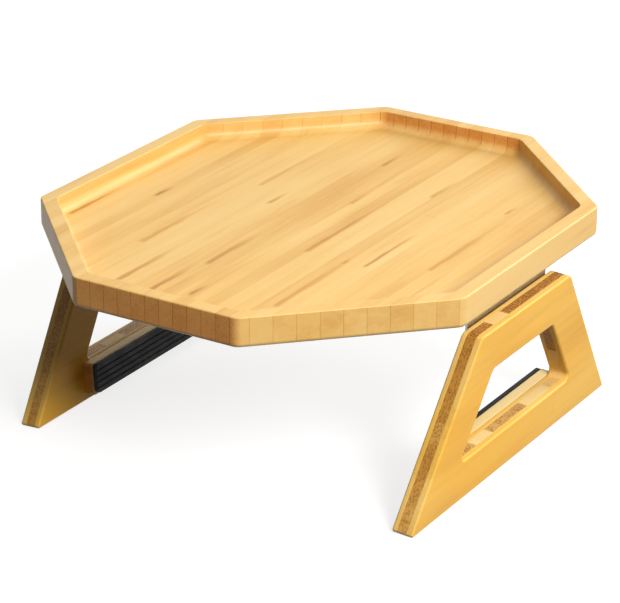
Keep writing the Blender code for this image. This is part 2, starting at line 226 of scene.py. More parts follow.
def bamboo(name, tones, turn=(0, 0, 0), strip=0.0096, first_joint=0.0039, seed=0.0, strip_contrast=0.16,
           streak_contrast=0.40, fibre_contrast=0.14, fleck_depth=0.07, joint_depth=0.035,
           end_joint_depth=0.48, end_strip_contrast=0.11, knuckle_depth=0.02, end_and_sheen_tint=(0.86, 0.61, 0.46),
           dot_depth=0.25, dots_a_metre=1050, dot_tint=(0.35, 0.26, 0.20), patch_depth=0.5,
           patch_tint=(1.01, 1.07, 1.25), strokes=(), stroke_depth=1.25, blocks=(), specular=0.35,
           coat=0.12):
    """Lacquered bamboo: strips with a tone, a grain and knuckles of their own, fibres that show
    as streaks along the strips and as dots across their ends, and fine glue lines between strips.
    The turn brings the strips' length onto Y and their width onto X. A mesh attribute says, from 0 to 1,
    how far the looks of the strips' ends apply; on the legs' face plies it marks their edges, where the end
    tint paints a paler sheen."""
    surface = bpy.data.materials.new(name)
    surface.use_nodes = True
    tree = surface.node_tree
    shader = tree.nodes["Principled BSDF"]
    spot = node(tree, 'ShaderNodeTexCoord', out=3)
    spot = node(tree, 'ShaderNodeMapping', {0: spot, 2: turn})
    across, along, depth = node(tree, 'ShaderNodeSeparateXYZ', {0: spot}).node.outputs
    ends_and_sheen = node(tree, 'ShaderNodeAttribute', attribute_name="end_grain_and_sheen", out=2)

    # Each strip's own numbers
    count = math_node(tree, 'DIVIDE', math_node(tree, 'SUBTRACT', across, first_joint), strip)
    share = math_node(tree, 'FRACT', count)
    count = math_node(tree, 'ADD', math_node(tree, 'FLOOR', count), seed)
    chance = node(tree, 'ShaderNodeTexWhiteNoise', {'W': count}, noise_dimensions='1D')
    chances = node(tree, 'ShaderNodeSeparateColor', {0: chance.node.outputs[1]}).node.outputs
    shifted = sum_of(tree, (along, 1.0), (chances[0], 7.0))

    # Streaks, flecks, fibres and dots
    grid = (across, shifted, depth)
    plain = (across, along, depth)
    broad = noise(tree, grid, (95, 9, 95))
    soft = noise(tree, plain, (34, 4, 34), 2.0)
    narrow = noise(tree, plain, (420, 11, 420), 2.0)
    fine = noise(tree, grid, (1300, 26, 1300), 3.0, 0.6)
    ragged = noise(tree, plain, (330, 60, 330), 2.0)
    fleck = between(tree, noise(tree, plain, (150, 11, 150), 2.0), 0.60, 0.78)
    cells = stretched(tree, grid, (dots_a_metre, 14, dots_a_metre))
    cells = node(tree, 'ShaderNodeTexVoronoi', {0: cells, 'Scale': 1.0})
    dots = between(tree, cells, 0.28, 0.58, 1.0, 0.0)

    # Knuckles, one every quarter of a metre or so along each strip
    phase = math_node(tree, 'FRACT', sum_of(tree, (along, 4.3), (chances[1], 1.0)))
    phase = math_node(tree, 'ABSOLUTE', math_node(tree, 'SUBTRACT', phase, 0.5))
    knuckle = between(tree, sum_of(tree, (phase, 1.0), (ragged, 0.03)), 0.018, 0.026, 1.0, 0.0)

    # Glue lines
    edge = math_node(tree, 'ABSOLUTE', math_node(tree, 'SUBTRACT', share, 0.5))
    joint = between(tree, edge, 0.470, 0.497)
    lines = math_node(tree, 'MULTIPLY', joint, between(tree, ends_and_sheen, 0.0, 0.3, joint_depth, end_joint_depth))

    # Strokes that this tray has at places of its own
    marks = 0.0
    for place, start, finish, width, strength in strokes:
        mark = stroke(tree, across, along, ragged, place, start, finish, width)
        marks = math_node(tree, 'MAXIMUM', marks, math_node(tree, 'MULTIPLY', mark, strength))

    contrast = between(tree, ends_and_sheen, 0.0, 0.15, strip_contrast, end_strip_contrast)
    parts = [(math_node(tree, 'MULTIPLY', math_node(tree, 'SUBTRACT', chance, 0.5), contrast), 1.0),
             (broad, streak_contrast * 0.8), (soft, streak_contrast * 0.9), (narrow, streak_contrast * 0.3),
             (fine, fibre_contrast), (fleck, -fleck_depth), (knuckle, -knuckle_depth), (lines, -1.0)]
    level = 0.5 - (2.0 * streak_contrast + fibre_contrast) / 2
    if strokes:
        parts.append((marks, -stroke_depth))
    if blocks:
        parts.append((block_tones(tree, across, along, *blocks), 1.0))
        level -= 0.5
    tone = math_node(tree, 'ADD', sum_of(tree, *parts), level)
    colour = ramp(tree, tone, tones)
    patches = between(tree, noise(tree, plain, (15, 5, 15), 1.0), 0.40, 0.66, 0.0, patch_depth)
    colour = mixed(tree, patches, colour, mixed(tree, 1.0, colour, (*patch_tint, 1), 'MULTIPLY'))
    # Where the strips' ends show they take their own end tint; on the legs' face plies this tint paints a
    # paler sheen along the edges instead.
    colour = mixed(tree, ends_and_sheen, colour, mixed(tree, 1.0, colour, (*end_and_sheen_tint, 1), 'MULTIPLY'))
    browns = between(tree, tone, 0.52, 0.64, dot_depth, dot_depth * 0.1)
    specks = math_node(tree, 'MULTIPLY', math_node(tree, 'MULTIPLY', dots, ends_and_sheen), browns)
    colour = mixed(tree, specks, colour, mixed(tree, 1.0, colour, (*dot_tint, 1), 'MULTIPLY'))
    tree.links.new(colour, shader.inputs["Base Color"])
    tree.links.new(between(tree, fine, 0.3, 0.7, 0.40, 0.50), shader.inputs["Roughness"])
    height = sum_of(tree, (fine, 0.5), (lines, -1.5), (specks, -0.8))
    bump = node(tree, 'ShaderNodeBump', {'Height': height, 'Strength': 0.18, 'Distance': 0.0004})
    tree.links.new(bump, shader.inputs["Normal"])
    shader.inputs["Specular IOR Level"].default_value = specular
    shader.inputs["Coat Weight"].default_value = coat
    shader.inputs["Coat Roughness"].default_value = 0.28
    return surface


def mark_end_grain(mesh, grain, sharpness):
    """Keeps on each point how squarely the surface there cuts the fibres, from 0 to 1."""
    values = mesh.attributes.new("end_grain_and_sheen", 'FLOAT', 'POINT')
    for vertex, value in zip(mesh.vertices, values.data):
        value.value = abs(vertex.normal.dot(grain)) ** sharpness


def mark_sheen_edges(mesh, across):
    """Keeps on each point how far the surface there turns from a plate's faces, from 0 to 1: the mask of a
    painted sheen along the edges.
    """
    values = mesh.attributes.new("end_grain_and_sheen", 'FLOAT', 'POINT')
    for vertex, value in zip(mesh.vertices, values.data):
        value.value = 1 - abs(vertex.normal.dot(across)) ** 2


def finished(name, mesh, surface, body, nodes, edge=0.0):
    """Makes the mesh a piece of the tray, on its body and in the place of its plain solids."""
    piece = bpy.data.objects.new(name, mesh)
    bpy.context.scene.collection.objects.link(piece)
    mesh.materials.clear()
    mesh.materials.append(surface)
    mesh.shade_smooth()
    if edge:
        easing = piece.modifiers.new("eased_edges", 'BEVEL')
        easing.width = edge
        easing.segments = 2
        easing.limit_method = 'ANGLE'
        easing.angle_limit = math.radians(35)
    shading = piece.modifiers.new("shading", 'WEIGHTED_NORMAL')
    shading.keep_sharp = True
    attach(piece, body)
    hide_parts(*nodes)


honey = [(0.0, (0.42, 0.17, 0.032)), (0.3, (0.68, 0.36, 0.080)), (0.5, (0.81, 0.51, 0.158)),
         (0.75, (0.87, 0.60, 0.23)), (1.0, (0.92, 0.70, 0.34))]
board_strokes = [(-0.1075, -0.0211, 0.0000, 0.0022, 0.34), (-0.0400, 0.0052, 0.0330, 0.0022, 0.30),
                 (0.0412, 0.0680, 0.1080, 0.0020, 0.26), (0.0044, 0.0315, 0.0600, 0.0020, 0.20),
                 (0.0645, -0.0536, 0.0250, 0.0018, 0.34), (0.0512, -0.0572, -0.0440, 0.0022, 0.20),
                 (-0.0470, -0.1478, -0.0700, 0.0026, 0.26), (-0.0170, -0.0994, -0.0350, 0.0028, 0.20),
                 (0.0520, -0.1311, -0.0300, 0.0030, 0.20), (-0.0139, 0.1023, 0.1300, 0.0020, 0.20),
                 (-0.0222, -0.1540, -0.1000, 0.0026, 0.28), (0.0013, -0.1427, -0.1250, 0.0022, 0.26),
                 (-0.1340, -0.0772, -0.0100, 0.0020, 0.30), (0.0950, 0.0688, 0.0850, 0.0018, 0.22),
                 (0.1000, -0.0366, 0.0700, 0.0026, 0.16), (-0.0700, -0.0900, 0.0100, 0.0030, 0.18),
                 (-0.0620, 0.0300, 0.1200, 0.0028, 0.16), (0.0230, -0.0500, 0.0600, 0.0026, 0.18)]
board = board_mesh()
mark_end_grain(board, Vector((0, 1, 0)), 6)
board_bamboo = bamboo("board_bamboo", honey, strokes=board_strokes, specular=0.25, coat=0.12)
finished("board", board, board_bamboo, "tray", ["tray_board"])


# The legs
# Each leg is a plate of three bamboo plies, cut to a trapezoid with a window to put a hand
# through. The middle ply's strips run up the leg, so its brown ends show along the edges.
leg_lean = math.radians(3.5)
leg_top_length = 0.1147
leg_bottom_length = 0.2522
leg_foot_radius = 0.0015
leg_shoulder_radius = 0.0060
leg_edge_round = 0.0014
glue_edge_round = 0.00015
glue_reach = 0.00013
window_top_bar = 0.0272
window_height = 0.0498
window_top_length = 0.0775
window_bottom_length = 0.1440
window_corner_radius = 0.0050
window_foot_radius = 0.0035
joints = {joint["child"]: joint for joint in frame["joints"]}


def leg_place(body, lean=leg_lean):
    """Where a leg's own frame stands: its origin on the hinge's pin, X away from the tray."""
    pin = Vector(joints[body]["pos_m"])
    facing = 0 if pin.x > 0 else math.pi
    return Matrix.Translation(pin) @ Matrix.Rotation(facing, 4, 'Z') @ Matrix.Rotation(lean, 4, 'Y')


def solid_span(name, place):
    """Lowest and highest corner of a plain solid, in a frame of its own."""
    back = place.inverted()
    points = [back @ vertex.co for vertex in frame["nodes"][name].data.vertices]
    low = Vector([min(point[axis] for point in points) for axis in range(3)])
    high = Vector([max(point[axis] for point in points) for axis in range(3)])
    return low, high


def trapezoid(top, bottom, top_length, bottom_length):
    """The corners of a trapezoid drawn in Y and Z."""
    return [(bottom_length / 2, bottom), (top_length / 2, top),
            (-top_length / 2, top), (-bottom_length / 2, bottom)]


def ply_mesh(name, span, place, inner_round, outer_round, inner_reach, outer_reach):
    """A plate with a window, its four edges rounded, each side by its own radius."""
    low, high = span
    inner = low.x - inner_reach
    outer = high.x + outer_reach
    window_top = high.z - window_top_bar
    edge = trapezoid(high.z, low.z, leg_top_length, leg_bottom_length)
    hole = trapezoid(window_top, window_top - window_height, window_top_length, window_bottom_length)
    radii = [leg_foot_radius, leg_shoulder_radius, leg_shoulder_radius, leg_foot_radius]
    hole_radii = [window_foot_radius, window_corner_radius, window_corner_radius, window_foot_radius]
    rim = arc(inner_round, inner + inner_round, inner_round, 270, 180, round_steps)
    rim += arc(outer_round, outer - outer_round, outer_round, 180, 90, round_steps)
    rings = []
    for inset, level in rim:
        ring = outline(edge, inset, radii, corner_steps)
        rings.append([place @ Vector((level, point.x, point.y)) for point in ring])
    for inset, level in reversed(rim):
        ring = outline(hole, -inset, hole_radii, corner_steps)
        rings.append([place @ Vector((level, point.x, point.y)) for point in ring])
    return loft(name, rings, endless=True)


leg_honey = [(0.0, (0.54, 0.21, 0.012)), (0.3, (0.78, 0.38, 0.024)), (0.55, (0.92, 0.475, 0.036)),
             (0.8, (0.94, 0.54, 0.060)), (1.0, (0.95, 0.63, 0.13))]
core_tones = [(0.0, (0.14, 0.045, 0.008)), (0.3, (0.42, 0.18, 0.030)), (0.5, (0.62, 0.31, 0.058)),
              (0.75, (0.90, 0.64, 0.26)), (1.0, (0.94, 0.74, 0.38))]
block_reach = 0.135
block_split = 0.05
upper_blocks = [(-0.135, 0.52),(-0.107, 0.45), (-0.095, 0.52), (-0.088, 0.43), (-0.037, 0.80),
                (-0.018, 0.42), (0.055, 0.44), (0.078, 0.48), (0.097, 0.42), (0.112, 0.46)]
lower_blocks = [(-0.135, 0.52), (-0.107, 0.45), (-0.095, 0.53), (-0.088, 0.43), (-0.060, 0.55),
                (-0.045, 0.86), (-0.024, 0.57), (0.021, 0.86), (0.052, 0.70), (0.075, 0.50),
                (0.096, 0.42), (0.115, 0.48)]
# The face plies' edge tint is a painted sheen: it makes their edges paler and less saturated than the
# faces.
face_bamboo = bamboo("leg_face_bamboo", leg_honey, turn=(0, math.pi / 2, 0), strip=0.0355,
                     first_joint=0.031, seed=11.0, strip_contrast=0.08, streak_contrast=0.50,
                     fleck_depth=0.10, joint_depth=0.02, end_joint_depth=0.05, end_strip_contrast=0.08,
                     knuckle_depth=0.05, end_and_sheen_tint=(0.98, 1.14, 2.7), dot_depth=0.05, patch_depth=1.0,
                     patch_tint=(1.02, 1.12, 1.9), specular=0.20)
core_bamboo = bamboo("leg_core_bamboo", core_tones, turn=(-math.pi / 2, -math.pi / 2, 0), strip=0.0220,
                     first_joint=-0.033, seed=5.0, strip_contrast=0.0, end_strip_contrast=0.0,
                     streak_contrast=0.25, fleck_depth=0.0, joint_depth=0.05, end_joint_depth=0.08,
                     knuckle_depth=0.0, end_and_sheen_tint=(1.0, 0.96, 0.85), dot_depth=1.0, dots_a_metre=900,
                     patch_depth=0.0, specular=0.25,
                     blocks=(block_reach, block_split, upper_blocks, lower_blocks))
for side in ("right", "left"):
    body = side + "_leg"
    place = leg_place(body)
    up = place.to_3x3() @ Vector((0, 0, 1))
    outward = place.to_3x3() @ Vector((1, 0, 0))
    plies = (("inner", "_leg_inner_ply", leg_edge_round, glue_edge_round, 0, glue_reach),
             ("middle", "_leg_core", glue_edge_round, glue_edge_round, glue_reach, glue_reach),
             ("outer", "_leg_outer_ply", glue_edge_round, leg_edge_round, glue_reach, 0))
    for word, node_end, inner_round, outer_round, inner_reach, outer_reach in plies:
        name = side + "_" + word + "_ply"
        span = solid_span(side + node_end, place)
        mesh = ply_mesh(name, span, place, inner_round, outer_round, inner_reach, outer_reach)
        if word == "middle":
            mark_end_grain(mesh, up, 1)
            finished(name, mesh, core_bamboo, body, [side + node_end])
        else:
            # The face plies' edges get the mask of their painted sheen.
            mark_sheen_edges(mesh, outward)
            finished(name, mesh, face_bamboo, body, [side + node_end])


# The battens
# A planed batten of pale bamboo is glued along the inner face of each leg's bottom bar, its
# top level with the foot of the window. It stands the grip off the leg.
batten_corner_radius = 0.002
batten_edge_round = 0.0010
batten_back_round = 0.0002


def bar_mesh(name, low, high, corner_radius, inner_round, outer_round):
    """A bar between two corners, the edges of its inner and its outer side rounded."""
    corners = [(high.y, low.z), (high.y, high.z), (low.y, high.z), (low.y, low.z)]
    rim = arc(inner_round, low.x + inner_round, inner_round, 270, 180, round_steps)
    rim += arc(outer_round, high.x - outer_round, outer_round, 180, 90, round_steps)
    rings = []
    for inset, level in rim:
        ring = outline(corners, inset, [corner_radius], corner_steps)
        rings.append([(level, point.x, point.y) for point in ring])
    return loft(name, rings)


pale_honey = [(0.0, (0.62, 0.34, 0.09)), (0.3, (0.80, 0.54, 0.18)), (0.5, (0.90, 0.68, 0.29)),
              (0.75, (0.93, 0.75, 0.38)), (1.0, (0.95, 0.81, 0.48))]
batten_bamboo = bamboo("batten_bamboo", pale_honey, turn=(0, math.pi / 2, 0), strip=0.0070, first_joint=0.0,
                       seed=23.0, strip_contrast=0.10, streak_contrast=0.30, fleck_depth=0.05,
                       joint_depth=0.05, end_joint_depth=0.20, end_strip_contrast=0.20, knuckle_depth=0.04,
                       specular=0.25)
for side in ("right", "left"):
    place = leg_place(side + "_leg")
    low, high = solid_span(side + "_grip_batten", place)
    mesh = bar_mesh(side + "_batten", low, high, batten_corner_radius, batten_edge_round, batten_back_round)
    mesh.transform(place)
    mark_end_grain(mesh, Vector((0, 1, 0)), 4)
    finished(side + "_batten", mesh, batten_bamboo, side + "_leg", [side + "_grip_batten"])


# The grips
# A strip of black moulded rubber is glued to each batten. It has grooves along its length,
# which leave five ribs to hold on to the sofa's cloth.
grip_corner_radius = 0.003
grip_edge_round = 0.0003
grip_back_round = 0.00015
groove_count = 4
groove_width = 0.0012
groove_depth = 0.0010
groove_overrun = 0.005
groove_edge = 0.0002


def new_tree(name, sizes):
    """An empty Geometry Nodes tree with a named input for each size, and its inputs by name."""
    tree = bpy.data.node_groups.new(name, 'GeometryNodeTree')
    tree.interface.new_socket("Geometry", in_out='OUTPUT', socket_type='NodeSocketGeometry')
    tree.interface.new_socket("Geometry", in_out='INPUT', socket_type='NodeSocketGeometry')
    for word, kind in sizes.items():
        tree.interface.new_socket(word, in_out='INPUT', socket_type='NodeSocket' + kind)
    entry = tree.nodes.new('NodeGroupInput')
    return tree, {socket.name: socket for socket in entry.outputs if socket.name}


def close_tree(tree, geometry, surface):
    """The end of a tree: its instances made real, in one material."""
    real = node(tree, 'GeometryNodeRealizeInstances', {"Geometry": geometry})
    dressed = node(tree, 'GeometryNodeSetMaterial', {"Geometry": real, "Material": surface})
    tree.links.new(dressed, tree.nodes.new('NodeGroupOutput').inputs[0])


def grown(name, base, tree, sizes):
    """The plain mesh that a tree makes of a base mesh at the sizes given by name."""
    item = bpy.data.objects.new(name, base)
    bpy.context.scene.collection.objects.link(item)
    growth = item.modifiers.new(name, 'NODES')
    growth.node_group = tree
    for socket in tree.interface.items_tree:
        if socket.in_out == 'INPUT' and socket.name in sizes:
            growth[socket.identifier] = sizes[socket.name]
    graph = bpy.context.evaluated_depsgraph_get()
    mesh = bpy.data.meshes.new_from_object(item.evaluated_get(graph))
    item.modifiers.remove(growth)
    bpy.data.objects.remove(item)
    mesh.name = name
    return mesh


def grooved_tree():
    """Grooves along Y cut into the face at X = 0 of a strip, evenly spaced up its height."""
    kinds = {"Grooves": 'Int', "Pitch": 'Float', "Width": 'Float', "Depth": 'Float', "Length": 'Float',
             "Surface": 'Material'}
    tree, size = new_tree("grip_grooves", kinds)
    doubled = math_node(tree, 'MULTIPLY', size["Depth"], 2.0)
    block = node(tree, 'ShaderNodeCombineXYZ', {0: doubled, 1: size["Length"], 2: size["Width"]})
    cutter = node(tree, 'GeometryNodeMeshCube', {"Size": block})
    gaps = math_node(tree, 'SUBTRACT', size["Grooves"], 1.0)
    lowest = math_node(tree, 'MULTIPLY', math_node(tree, 'MULTIPLY', gaps, size["Pitch"]), -0.5)
    start = node(tree, 'ShaderNodeCombineXYZ', {2: lowest})
    step = node(tree, 'ShaderNodeCombineXYZ', {2: size["Pitch"]})
    line = {"Count": size["Grooves"], "Start Location": start, "Offset": step}
    row = node(tree, 'GeometryNodeMeshLine', line)
    cutters = node(tree, 'GeometryNodeInstanceOnPoints', {"Points": row, "Instance": cutter})
    cutters = node(tree, 'GeometryNodeRealizeInstances', {"Geometry": cutters})
    cut = node(tree, 'GeometryNodeMeshBoolean', {"Mesh 1": size["Geometry"], "Mesh 2": cutters},
               operation='DIFFERENCE', solver='EXACT')
    close_tree(tree, cut, size["Surface"])
    return tree


def rubber():
    """Matt black rubber with a fine moulded grain and a little dust in it."""
    surface = bpy.data.materials.new("black_rubber")
    surface.use_nodes = True
    tree = surface.node_tree
    shader = tree.nodes["Principled BSDF"]
    spot = node(tree, 'ShaderNodeTexCoord', out=3)
    grain = node(tree, 'ShaderNodeTexNoise', {0: spot, 'Scale': 2600.0, 'Detail': 2.0})
    dust = node(tree, 'ShaderNodeTexNoise', {0: spot, 'Scale': 90.0, 'Detail': 4.0, 'Roughness': 0.7})
    tone = sum_of(tree, (grain, 0.35), (between(tree, dust, 0.45, 0.75), 0.65))
    blacks = [(0.0, (0.010, 0.010, 0.011)), (0.6, (0.020, 0.020, 0.021)), (1.0, (0.05, 0.048, 0.045))]
    tree.links.new(ramp(tree, tone, blacks), shader.inputs["Base Color"])
    tree.links.new(between(tree, dust, 0.3, 0.7, 0.62, 0.82), shader.inputs["Roughness"])
    bump = node(tree, 'ShaderNodeBump', {'Height': grain, 'Strength': 0.25, 'Distance': 0.0001})
    tree.links.new(bump, shader.inputs["Normal"])
    shader.inputs["Specular IOR Level"].default_value = 0.35
    return surface


grooves = grooved_tree()
black_rubber = rubber()
for side in ("right", "left"):
    body = side + "_leg"
    place = leg_place(body)
    low, high = solid_span(side + "_grip_pad", place)
    middle = Vector((low.x, 0, (low.z + high.z) / 2))
    blank = bar_mesh("grip_blank", low - middle, high - middle, grip_corner_radius, grip_edge_round,
                     grip_back_round)
    sizes = {"Grooves": groove_count, "Pitch": (high.z - low.z) / (groove_count + 1), "Width": groove_width,
             "Depth": groove_depth, "Length": high.y - low.y + groove_overrun, "Surface": black_rubber}
    mesh = grown(side + "_grip", blank, grooves, sizes)
    mesh.transform(place @ Matrix.Translation(middle))
    finished(side + "_grip", mesh, black_rubber, body, [side + "_grip_pad"], edge=groove_edge)


# The hinges
# Two strip hinges of zinc-plated steel with five knuckles each. A leaf's edge is notched and
# rolled round the pin, between its fellow's knuckles, and the pin's ends are riveted over.
knuckle_count = 5
knuckle_gap = 0.0003
barrel_radius = 0.0035
leaf_thickness = 0.0015
leaf_root = 0.0040
leaf_corner_radius = 0.0020
tab_overlap = 0.0020
outer_bend_share = 0.3
inner_bend_share = 0.5
outer_roll_start = 96
inner_roll_start = 92
rolled_to = 392
roll_steps = 26
screw_count = 4
screw_end_distance = 0.010
screw_hole_radius = 0.0018
board_hole_margin = 0.01092
leg_hole_margin = 0.0108
pin_radius = 0.0015
pin_head_radius = 0.0027
pin_head_height = 0.0010
pin_head_seat = 0.00001
crown_end = 84
pin_sides = 32
drill_sides = 24
drill_length = 0.02
metal_edge = 0.00012


def knuckle_mesh(length, back):
    """A knuckle: a strip of the leaf that runs back over the pin and is rolled round it."""
    inner = barrel_radius - leaf_thickness
    foot = leaf_root + tab_overlap
    section = [(foot, back), (barrel_radius * outer_bend_share, back)]
    section += arc(0, 0, barrel_radius, outer_roll_start, rolled_to, roll_steps)
    section += arc(0, 0, inner, rolled_to, inner_roll_start, roll_steps)
    section += [(inner * inner_bend_share, back - leaf_thickness), (foot, back - leaf_thickness)]
    rings = [[(x, y, z) for x, z in section] for y in (-length / 2, length / 2)]
    return loft("knuckle", rings)


def leaf_plate(width, length, back):
    """The flat of a leaf, from the foot of its knuckles to its outer edge."""
    middle = (width + leaf_root) / 2
    half = (width - leaf_root) / 2
    corners = [(middle + half, -length / 2), (middle + half, length / 2),
               (middle - half, length / 2), (middle - half, -length / 2)]
    ring = outline(corners, 0, [leaf_corner_radius], corner_steps)
    levels = (back - leaf_thickness, back)
    return loft("leaf", [[(point.x, point.y, level) for point in ring] for level in levels])


def leaf_tree():
    """Knuckles set along the edge of a leaf, one by one, and holes drilled through it in a row."""
    kinds = {"Knuckle": 'Object', "Knuckles": 'Int', "First": 'Float', "Step": 'Float', "Holes": 'Int',
             "Hole row": 'Float', "First hole": 'Float', "Hole step": 'Float', "Hole radius": 'Float',
             "Surface": 'Material'}
    tree, size = new_tree("hinge_leaf", kinds)
    knuckle = node(tree, 'GeometryNodeObjectInfo', {"Object": size["Knuckle"]}).node.outputs["Geometry"]
    start = node(tree, 'ShaderNodeCombineXYZ', {1: size["First"]})
    step = node(tree, 'ShaderNodeCombineXYZ', {1: size["Step"]})
    line = {"Count": size["Knuckles"], "Start Location": start, "Offset": step}
    row = node(tree, 'GeometryNodeMeshLine', line)
    knuckles = node(tree, 'GeometryNodeInstanceOnPoints', {"Points": row, "Instance": knuckle})
    knuckles = node(tree, 'GeometryNodeRealizeInstances', {"Geometry": knuckles})
    whole = tree.nodes.new('GeometryNodeMeshBoolean')
    whole.operation = 'UNION'
    whole.solver = 'EXACT'
    tree.links.new(size["Geometry"], whole.inputs["Mesh 2"])
    tree.links.new(knuckles, whole.inputs["Mesh 2"])
    bit = {"Vertices": drill_sides, "Radius": size["Hole radius"], "Depth": drill_length}
    drill = node(tree, 'GeometryNodeMeshCylinder', bit)
    start = node(tree, 'ShaderNodeCombineXYZ', {0: size["Hole row"], 1: size["First hole"]})
    step = node(tree, 'ShaderNodeCombineXYZ', {1: size["Hole step"]})
    line = {"Count": size["Holes"], "Start Location": start, "Offset": step}
    row = node(tree, 'GeometryNodeMeshLine', line)
    drills = node(tree, 'GeometryNodeInstanceOnPoints', {"Points": row, "Instance": drill})
    drills = node(tree, 'GeometryNodeRealizeInstances', {"Geometry": drills})
    drilled = node(tree, 'GeometryNodeMeshBoolean', {"Mesh 1": whole.outputs[0], "Mesh 2": drills},
                   operation='DIFFERENCE', solver='EXACT')
    close_tree(tree, drilled, size["Surface"])
    return tree


def plated_steel(name, light, dark, roughness):
    """Zinc-plated steel: clouded, with fine rolling lines along Y and a little dullness."""
    surface = bpy.data.materials.new(name)
    surface.use_nodes = True
    tree = surface.node_tree
    shader = tree.nodes["Principled BSDF"]
    spot = node(tree, 'ShaderNodeTexCoord', out=3)
    parts = node(tree, 'ShaderNodeSeparateXYZ', {0: spot}).node.outputs
    lines = noise(tree, parts, (2200, 40, 2200), 3.0)
    clouds = noise(tree, parts, (160, 120, 160), 4.0, 0.6)
    tone = sum_of(tree, (clouds, 0.8), (lines, 0.2))
    tree.links.new(ramp(tree, tone, [(0.35, dark), (0.65, light)]), shader.inputs["Base Color"])
    tree.links.new(between(tree, tone, 0.3, 0.7, roughness + 0.12, roughness), shader.inputs["Roughness"])
    bump = node(tree, 'ShaderNodeBump', {'Height': lines, 'Strength': 0.12, 'Distance': 0.0001})
    tree.links.new(bump, shader.inputs["Normal"])
    shader.inputs["Metallic"].default_value = 1.0
    return surface


def turned_rings(profile, sides):
    """Rings of the profile's radii round Z, each at its own height."""
    rings = []
    for radius, height in profile:
        ring = []
        for index in range(sides):
            angle = 2 * math.pi * index / sides
            ring.append((radius * math.cos(angle), radius * math.sin(angle), height))
        rings.append(ring)
    return rings


def pin_mesh(half):
    """The hinge pin, a rod with a low riveted head at each end, along Y."""
    crown = arc(pin_head_radius - pin_head_height, half, pin_head_height, 0, crown_end, round_steps)
    upper = [(pin_radius, half - pin_head_seat), (pin_head_radius, half)] + crown
    lower = [(radius, -height) for radius, height in reversed(upper)]
    mesh = loft("pin", turned_rings(lower + upper, pin_sides))
    mesh.transform(Matrix.Rotation(-math.pi / 2, 4, 'X'))
    return mesh


hinge_steel = plated_steel("hinge_zinc", (0.46, 0.44, 0.40), (0.34, 0.32, 0.285), 0.34)
pin_steel = plated_steel("bright_zinc", (0.60, 0.59, 0.57), (0.46, 0.45, 0.43), 0.26)
leaves = leaf_tree()
for side in ("right", "left"):
    body = side + "_leg"
    level = leg_place(body, 0) @ Matrix.Rotation(math.pi, 4, 'Z')
    upright = leg_place(body) @ Matrix.Rotation(math.pi / 2, 4, 'Y')
    for word, rider, node_name, place, first, margin in (
            ("_board_leaf", "tray", side + "_hinge_tray_leaf", level, 0, board_hole_margin),
            ("_leg_leaf", body, side + "_hinge_leg_leaf", upright, 1, leg_hole_margin)):
        low, high = solid_span(node_name, place)
        length = high.y - low.y
        pitch = length / knuckle_count
        half = length / 2
        knuckle = bpy.data.objects.new("knuckle", knuckle_mesh(pitch - knuckle_gap, high.z))
        bpy.context.scene.collection.objects.link(knuckle)
        sizes = {"Knuckle": knuckle, "Knuckles": (knuckle_count + 1) // 2 - first,
                 "First": -half + pitch * (first + 0.5), "Step": pitch * 2, "Holes": screw_count,
                 "Hole row": high.x - margin, "First hole": -half + screw_end_distance,
                 "Hole step": (length - 2 * screw_end_distance) / (screw_count - 1),
                 "Hole radius": screw_hole_radius, "Surface": hinge_steel}
        mesh = grown(side + word, leaf_plate(high.x, length, high.z), leaves, sizes)
        bpy.data.objects.remove(knuckle)
        mesh.transform(place)
        finished(side + word, mesh, hinge_steel, rider, [node_name], edge=metal_edge)
    low, high = solid_span(side + "_hinge_pin", leg_place(body, 0))
    mesh = pin_mesh(high.y - pin_head_height)
    mesh.transform(leg_place(body, 0))
    finished(side + "_pin", mesh, pin_steel, "tray", [side + "_hinge_pin"])


# The screws
# Zinc-plated pan-head wood screws with a cross recess, four through each leaf: short ones up
# into the board, longer ones through a leg's inner ply into its core. Each stopped where it bit.
screw_head_radius = 0.0031
screw_head_height = 0.0015
screw_head_edge = 0.0002
screw_head_seat = 0.00002
screw_shoulder_share = 0.75
screw_neck_radius = 0.0015
thread_root_radius = 0.0011
thread_pitch = 0.0011
screw_tip_length = 0.0020
screw_tip_start = 0.0002
recess_length = 0.0034
recess_width = 0.0007
recess_reach = 0.0009
screw_sides = 20
thread_steps_a_turn = 6


def screw_mesh(length):
    """A pan-head screw that points down Z, with its thread as a wave that climbs round it."""
    rings = []
    climb = length * thread_steps_a_turn / thread_pitch
    for step in range(int(climb)):
        height = -length + step * thread_pitch / thread_steps_a_turn
        taper = min(1, (height + length + screw_tip_start) / screw_tip_length)
        ring = []
        for index in range(screw_sides):
            turn = index / screw_sides
            wave = abs((height / thread_pitch - turn) % 1 - 0.5) * 2
            radius = (thread_root_radius + (screw_neck_radius - thread_root_radius) * wave) * taper
            angle = 2 * math.pi * turn
            ring.append((radius * math.cos(angle), radius * math.sin(angle), height))
        rings.append(ring)
    shoulder = screw_head_height * screw_shoulder_share
    head = [(screw_neck_radius, -screw_head_seat), (screw_head_radius - screw_head_edge, 0),
            (screw_head_radius, screw_head_edge)]
    head += arc(screw_head_radius - shoulder, screw_head_height - shoulder, shoulder, 0, crown_end,
                round_steps)
    return loft("screw", rings + turned_rings(head, screw_sides))


